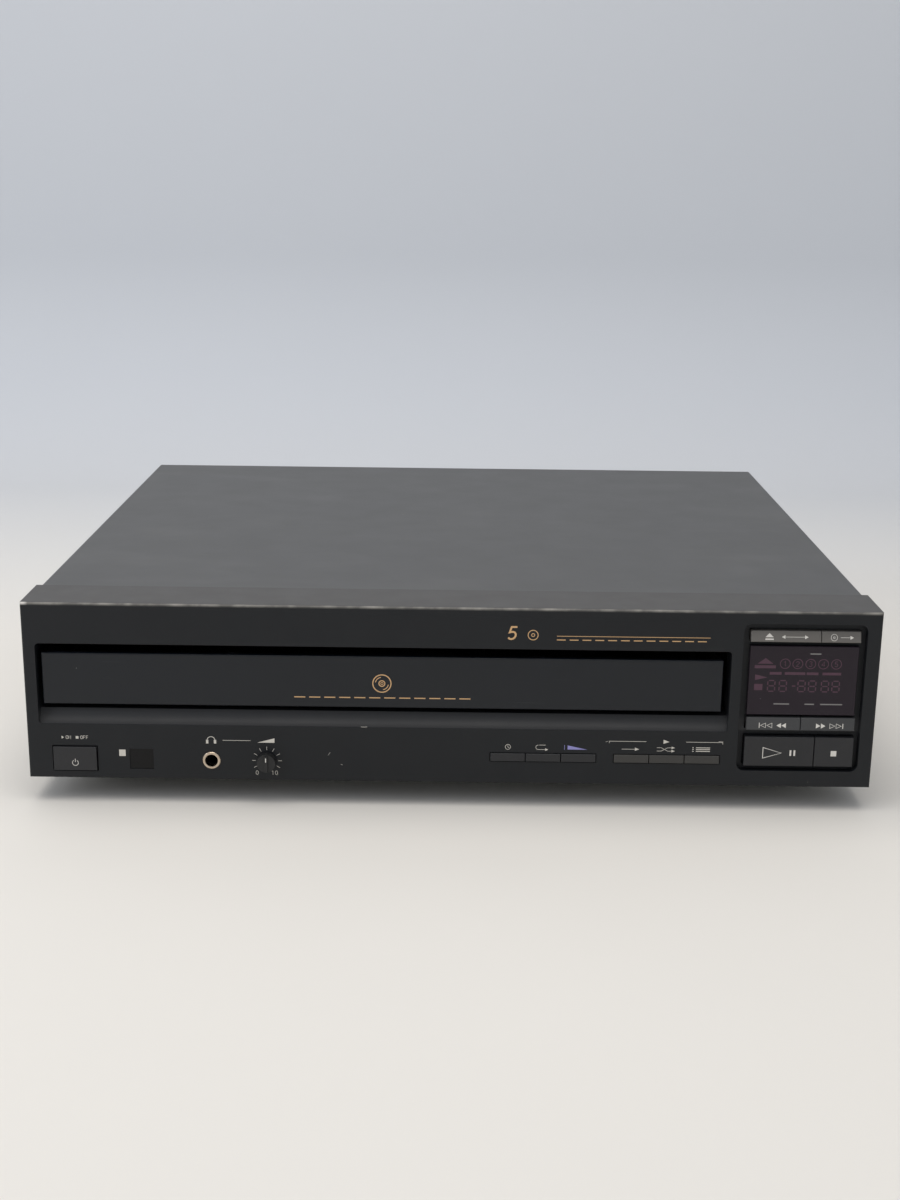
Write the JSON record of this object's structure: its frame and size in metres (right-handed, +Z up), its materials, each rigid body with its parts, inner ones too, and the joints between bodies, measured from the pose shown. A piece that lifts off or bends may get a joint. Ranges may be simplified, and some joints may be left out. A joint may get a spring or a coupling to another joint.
{
  "type": "multi disc cd changer",
  "caption": "Full width disc changer: folded steel case, moulded front with display and keys, and a sliding drawer that carries a turning carousel over a lifting pickup.",
  "frame": {"origin": "on the floor under the middle of the whole object's box", "axes": "+X to the right seen from the front, +Y from the front panel to the rear, +Z up"},
  "size_m": [0.43, 0.391, 0.106],
  "materials": {
    "panel_plastic": "fine moulded texture, charcoal",
    "fascia_plastic": "satin bluish charcoal",
    "key_plastic": "fine moulded, charcoal",
    "light_key_plastic": "fine moulded, brown grey",
    "cover_steel": "satin charcoal paint",
    "zinc_steel": "zinc plated sheet",
    "rear_steel": "dark paint",
    "foot_plastic": "black moulded",
    "black_screw": "blackened steel",
    "window_plastic": "dark tinted, polished",
    "tube_glass": "vacuum tube glass",
    "jack_nickel": "nickel plated",
    "black_plastic": "black moulded",
    "grey_plastic": "grey moulded",
    "white_acetal": "natural acetal",
    "board_green": "phenolic board",
    "motor_steel": "plated can",
    "belt_rubber": "black rubber",
    "rod_steel": "ground steel",
    "lens_glass": "coated lens",
    "transformer_iron": "varnished laminations",
    "socket_gold": "plated sockets"
  },
  "bodies": {
    "chassis": {"bottom_chassis": "zinc_steel", "case_screws": "black_screw", "clamp_bridge": "zinc_steel", "cord_gland": "black_plastic", "display_tube": "tube_glass", "display_window": "window_plastic", "drawer_rails": "grey_plastic", "feet": "foot_plastic", "front_boards": "board_green", "front_panel": "panel_plastic", "headphone_jack": "black_plastic", "jack_ring": "jack_nickel", "level_control": "motor_steel", "line_out_jacks": "socket_gold", "loading_belt": "belt_rubber", "loading_motor": "motor_steel", "main_board": "board_green", "mech_chassis": "zinc_steel", "power_switch": "black_plastic", "power_transformer": "transformer_iron", "rear_panel": "rear_steel", "sensor_window": "window_plastic", "tact_switches": "grey_plastic", "top_cover": "cover_steel"},
    "drawer": {"drawer_front": "fascia_plastic", "drawer_tray": "grey_plastic", "table_motor": "motor_steel", "table_belt": "belt_rubber"},
    "carousel": {"carousel": "black_plastic", "carousel_deck": "black_plastic", "carousel_cap": "black_plastic"},
    "table_gear": {"table_gear": "white_acetal"},
    "table_motor_pulley": {"table_motor_pulley": "white_acetal"},
    "loading_pinion": {"loading_pinion": "white_acetal"},
    "loading_pulley_gear": {"loading_pulley_gear": "white_acetal"},
    "loading_motor_pulley": {"loading_motor_pulley": "white_acetal"},
    "lift_slider": {"lift_slider": "white_acetal"},
    "pickup": {"pickup_frame": "grey_plastic", "spindle_motor": "motor_steel", "guide_rods": "rod_steel", "sled_motor": "motor_steel"},
    "turntable": {"turntable": "black_plastic"},
    "sled": {"pickup_sled": "black_plastic"},
    "lens": {"objective_lens": "lens_glass"},
    "sled_gear": {"sled_gear": "white_acetal"},
    "clamper": {"clamper": "black_plastic"},
    "level_knob": {"level_knob": "black_plastic"},
    "power_button": {"power_button": "key_plastic"},
    "open_close_key": {"open_close_key": "light_key_plastic"},
    "disc_skip_key": {"disc_skip_key": "light_key_plastic"},
    "track_back_key": {"track_back_key": "key_plastic"},
    "track_forward_key": {"track_forward_key": "key_plastic"},
    "play_pause_key": {"play_pause_key": "key_plastic"},
    "stop_key": {"stop_key": "key_plastic"},
    "time_key": {"time_key": "key_plastic"},
    "repeat_key": {"repeat_key": "key_plastic"},
    "fade_key": {"fade_key": "key_plastic"},
    "continue_key": {"continue_key": "key_plastic"},
    "shuffle_key": {"shuffle_key": "key_plastic"},
    "program_key": {"program_key": "key_plastic"}
  },
  "joints": [
    {"name": "drawer_slide", "type": "slide", "parent": "chassis", "child": "drawer", "axis": [0, -1, 0], "range_m": [0, 0.25]},
    {"name": "carousel_turn", "type": "hinge", "parent": "drawer", "child": "carousel", "pos_m": [-0.03455, -0.0095, 0.063], "axis": [0, 0, 1], "continuous": true},
    {"name": "table_gear_turn", "type": "hinge", "parent": "drawer", "child": "table_gear", "pos_m": [0.01848, 0.04353, 0.061], "axis": [0, 0, 1], "continuous": true},
    {"name": "table_motor_turn", "type": "hinge", "parent": "drawer", "child": "table_motor_pulley", "pos_m": [0.07543, 0.1405, 0.055], "axis": [0, 0, 1], "continuous": true},
    {"name": "loading_pinion_turn", "type": "hinge", "parent": "chassis", "child": "loading_pinion", "pos_m": [-0.084, -0.1445, 0.053], "axis": [0, 0, 1], "range_deg": [0, 1194]},
    {"name": "loading_pulley_gear_turn", "type": "hinge", "parent": "chassis", "child": "loading_pulley_gear", "pos_m": [-0.084, -0.1145, 0.043], "axis": [0, 0, 1], "range_deg": [-3582, 0]},
    {"name": "loading_motor_turn", "type": "hinge", "parent": "chassis", "child": "loading_motor_pulley", "pos_m": [-0.034, -0.1145, 0.043], "axis": [0, 0, 1], "range_deg": [-12534, 0]},
    {"name": "pickup_lift", "type": "slide", "parent": "chassis", "child": "pickup", "axis": [0, 0, 1], "range_m": [0, 0.0203]},
    {"name": "lift_slider_move", "type": "slide", "parent": "chassis", "child": "lift_slider", "axis": [0, 1, 0], "range_m": [0, 0.0203]},
    {"name": "turntable_spin", "type": "hinge", "parent": "pickup", "child": "turntable", "pos_m": [-0.03455, 0.094, 0.049], "axis": [0, 0, 1], "continuous": true},
    {"name": "clamper_spin", "type": "hinge", "parent": "chassis", "child": "clamper", "pos_m": [-0.03455, 0.094, 0.075], "axis": [0, 0, 1], "continuous": true},
    {"name": "sled_travel", "type": "slide", "parent": "pickup", "child": "sled", "axis": [0, 1, 0], "range_m": [0, 0.036]},
    {"name": "sled_gear_turn", "type": "hinge", "parent": "pickup", "child": "sled_gear", "pos_m": [-0.00755, 0.1285, 0.038], "axis": [0, 0, 1], "range_deg": [-516, 0]},
    {"name": "lens_focus", "type": "slide", "parent": "sled", "child": "lens", "axis": [0, 0, 1], "range_m": [-0.0006, 0.0006], "stiffness_N_per_m": 40},
    {"name": "open_close_press", "type": "slide", "parent": "chassis", "child": "open_close_key", "axis": [0, 1, 0], "range_m": [0, 0.0008], "stiffness_N_per_m": 800, "springref_m": -0.0005},
    {"name": "disc_skip_press", "type": "slide", "parent": "chassis", "child": "disc_skip_key", "axis": [0, 1, 0], "range_m": [0, 0.0008], "stiffness_N_per_m": 800, "springref_m": -0.0005},
    {"name": "track_back_press", "type": "slide", "parent": "chassis", "child": "track_back_key", "axis": [0, 1, 0], "range_m": [0, 0.0008], "stiffness_N_per_m": 800, "springref_m": -0.0005},
    {"name": "track_forward_press", "type": "slide", "parent": "chassis", "child": "track_forward_key", "axis": [0, 1, 0], "range_m": [0, 0.0008], "stiffness_N_per_m": 800, "springref_m": -0.0005},
    {"name": "play_pause_press", "type": "slide", "parent": "chassis", "child": "play_pause_key", "axis": [0, 1, 0], "range_m": [0, 0.0008], "stiffness_N_per_m": 800, "springref_m": -0.0005},
    {"name": "stop_press", "type": "slide", "parent": "chassis", "child": "stop_key", "axis": [0, 1, 0], "range_m": [0, 0.0008], "stiffness_N_per_m": 800, "springref_m": -0.0005},
    {"name": "time_press", "type": "slide", "parent": "chassis", "child": "time_key", "axis": [0, 1, 0], "range_m": [0, 0.0008], "stiffness_N_per_m": 800, "springref_m": -0.0005},
    {"name": "repeat_press", "type": "slide", "parent": "chassis", "child": "repeat_key", "axis": [0, 1, 0], "range_m": [0, 0.0008], "stiffness_N_per_m": 800, "springref_m": -0.0005},
    {"name": "fade_press", "type": "slide", "parent": "chassis", "child": "fade_key", "axis": [0, 1, 0], "range_m": [0, 0.0008], "stiffness_N_per_m": 800, "springref_m": -0.0005},
    {"name": "continue_press", "type": "slide", "parent": "chassis", "child": "continue_key", "axis": [0, 1, 0], "range_m": [0, 0.0008], "stiffness_N_per_m": 800, "springref_m": -0.0005},
    {"name": "shuffle_press", "type": "slide", "parent": "chassis", "child": "shuffle_key", "axis": [0, 1, 0], "range_m": [0, 0.0008], "stiffness_N_per_m": 800, "springref_m": -0.0005},
    {"name": "program_press", "type": "slide", "parent": "chassis", "child": "program_key", "axis": [0, 1, 0], "range_m": [0, 0.0008], "stiffness_N_per_m": 800, "springref_m": -0.0005},
    {"name": "power_press", "type": "slide", "parent": "chassis", "child": "power_button", "axis": [0, 1, 0], "range_m": [0, 0.0035], "stiffness_N_per_m": 400, "springref_m": -0.001},
    {"name": "level_turn", "type": "hinge", "parent": "chassis", "child": "level_knob", "pos_m": [-0.0932, -0.1895, 0.0237], "axis": [0, -1, 0], "range_deg": [-150, 150]}
  ],
  "couplings": [
    {"joint": "table_gear_turn", "follows": "carousel_turn", "ratio": -4},
    {"joint": "table_motor_turn", "follows": "carousel_turn", "ratio": -11},
    {"joint": "loading_pinion_turn", "follows": "drawer_slide", "rad_per_m": 83.333},
    {"joint": "loading_pulley_gear_turn", "follows": "drawer_slide", "rad_per_m": -250},
    {"joint": "loading_motor_turn", "follows": "drawer_slide", "rad_per_m": -875},
    {"joint": "lift_slider_move", "follows": "pickup_lift", "ratio": 1},
    {"joint": "clamper_spin", "follows": "turntable_spin", "ratio": 1},
    {"joint": "sled_gear_turn", "follows": "sled_travel", "rad_per_m": -250}
  ]
}
